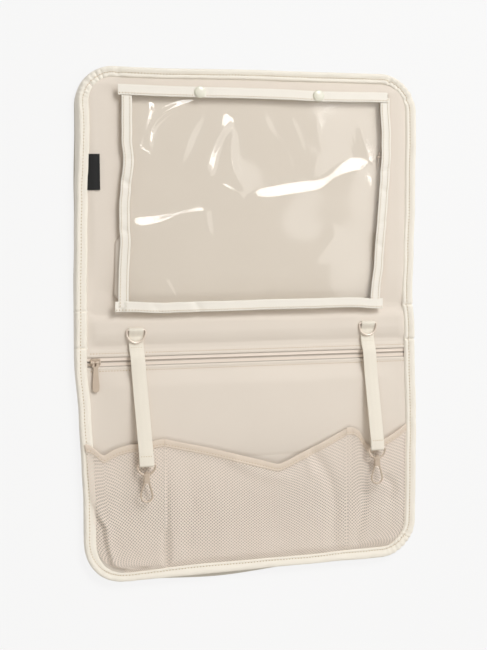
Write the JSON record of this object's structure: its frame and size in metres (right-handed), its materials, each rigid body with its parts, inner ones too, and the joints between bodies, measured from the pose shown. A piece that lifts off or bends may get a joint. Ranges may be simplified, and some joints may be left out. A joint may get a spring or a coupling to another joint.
{
  "type": "car seat protector",
  "caption": "Soft organiser mat for the back of a car seat, lying open on its back: clear window pocket, zip pocket, hanging straps with snap hooks, and net pockets.",
  "frame": {"origin": "middle of the back face, on the surface that the mat lies on", "axes": "+Z out of the front, +Y towards the window pocket, +X to the right when the front is seen with the window pocket at the top"},
  "size_m": [0.454, 0.644, 0.0287],
  "materials": {
    "cream_cloth": "woven binding",
    "peach_cloth": "satin weave",
    "peach_tape": "bound tape",
    "webbing": "ribbed webbing",
    "net": "open net",
    "zip_tape": "woven tape",
    "coil_plastic": "satin",
    "coated_metal": "satin coating",
    "cap_plastic": "satin",
    "clear_film": "clear and glossy",
    "black_label": "matt",
    "board": "plain"
  },
  "bodies": {
    "mat": {"back_cover": "cream_cloth", "edge_binding": "cream_cloth", "upper_board": "board", "spine_pad": "board", "lower_board": "board", "front_panel_upper": "peach_cloth", "front_panel_lower": "peach_cloth", "side_label": "black_label", "zip_lining": "peach_cloth", "zip_tape_upper": "zip_tape", "zip_tape_lower": "zip_tape", "zip_coil": "coil_plastic", "zip_stop_left": "coated_metal", "zip_stop_right": "coated_metal", "window_film": "clear_film", "window_gusset": "peach_cloth", "window_tape_top": "cream_cloth", "window_tape_bottom": "cream_cloth", "window_tape_left": "cream_cloth", "window_tape_right": "cream_cloth", "snap_cap_left": "cap_plastic", "snap_cap_right": "cap_plastic", "snap_stud_left": "cap_plastic", "snap_stud_right": "cap_plastic", "side_zip_tape": "zip_tape", "side_zip_coil": "coil_plastic", "strap_left": "webbing", "strap_right": "webbing", "net_left": "net", "net_centre": "net", "net_right": "net", "net_tape_left": "peach_tape", "net_tape_centre": "peach_tape", "net_tape_right": "peach_tape"},
    "slider": {"zip_slider": "coated_metal"},
    "pull": {"zip_pull": "coated_metal"},
    "side_slider": {"side_zip_slider": "coated_metal"},
    "side_pull": {"side_zip_pull": "coated_metal"},
    "ring_left": {"strap_ring_left": "coated_metal"},
    "ring_right": {"strap_ring_right": "coated_metal"},
    "loop_left": {"hook_loop_left": "coated_metal"},
    "loop_right": {"hook_loop_right": "coated_metal"},
    "hook_left": {"hook_body_left": "coated_metal", "hook_pin_left": "coated_metal"},
    "hook_right": {"hook_body_right": "coated_metal", "hook_pin_right": "coated_metal"},
    "gate_left": {"hook_gate_left": "coated_metal"},
    "gate_right": {"hook_gate_right": "coated_metal"}
  },
  "joints": [
    {"name": "zip_run", "type": "slide", "parent": "mat", "child": "slider", "axis": [1, 0, 0], "range_m": [0, 0.4]},
    {"name": "pull_swing", "type": "hinge", "parent": "slider", "child": "pull", "pos_m": [-0.2039, -0.0443, 0.0136], "axis": [-1, 0, 0], "range_deg": [0, 175]},
    {"name": "side_zip_run", "type": "slide", "parent": "mat", "child": "side_slider", "axis": [0.032, 0.9995, 0], "range_m": [-0.17, 0.055]},
    {"name": "side_pull_swing", "type": "hinge", "parent": "side_slider", "child": "side_pull", "pos_m": [0.17163, 0.214, 0.0146], "axis": [0, 0, -1], "range_deg": [0, 150]},
    {"name": "ring_left_swing", "type": "hinge", "parent": "mat", "child": "ring_left", "pos_m": [-0.153, -0.005, 0.01515], "axis": [-1, 0, 0], "range_deg": [0, 120]},
    {"name": "ring_right_swing", "type": "hinge", "parent": "mat", "child": "ring_right", "pos_m": [0.1566, -0.0036, 0.01515], "axis": [-1, 0, 0], "range_deg": [0, 120]},
    {"name": "loop_left_swing", "type": "hinge", "parent": "mat", "child": "loop_left", "pos_m": [-0.1442, -0.1732, 0.026], "axis": [-1, 0, 0], "range_deg": [0, 110]},
    {"name": "loop_right_swing", "type": "hinge", "parent": "mat", "child": "loop_right", "pos_m": [0.1651, -0.1692, 0.026], "axis": [-1, 0, 0], "range_deg": [0, 110]},
    {"name": "hook_left_swivel", "type": "hinge", "parent": "loop_left", "child": "hook_left", "pos_m": [-0.1442, -0.1882, 0.026], "axis": [0, 1, 0], "continuous": true},
    {"name": "hook_right_swivel", "type": "hinge", "parent": "loop_right", "child": "hook_right", "pos_m": [0.1651, -0.1842, 0.026], "axis": [0, 1, 0], "continuous": true},
    {"name": "gate_left_open", "type": "hinge", "parent": "hook_left", "child": "gate_left", "pos_m": [-0.1464, -0.194, 0.026], "axis": [0, 0, 1], "range_deg": [0, 25], "stiffness_Nm_per_rad": 0.01, "springref_deg": -5.73},
    {"name": "gate_right_open", "type": "hinge", "parent": "hook_right", "child": "gate_right", "pos_m": [0.1629, -0.19, 0.026], "axis": [0, 0, 1], "range_deg": [0, 25], "stiffness_Nm_per_rad": 0.01, "springref_deg": -5.73}
  ]
}
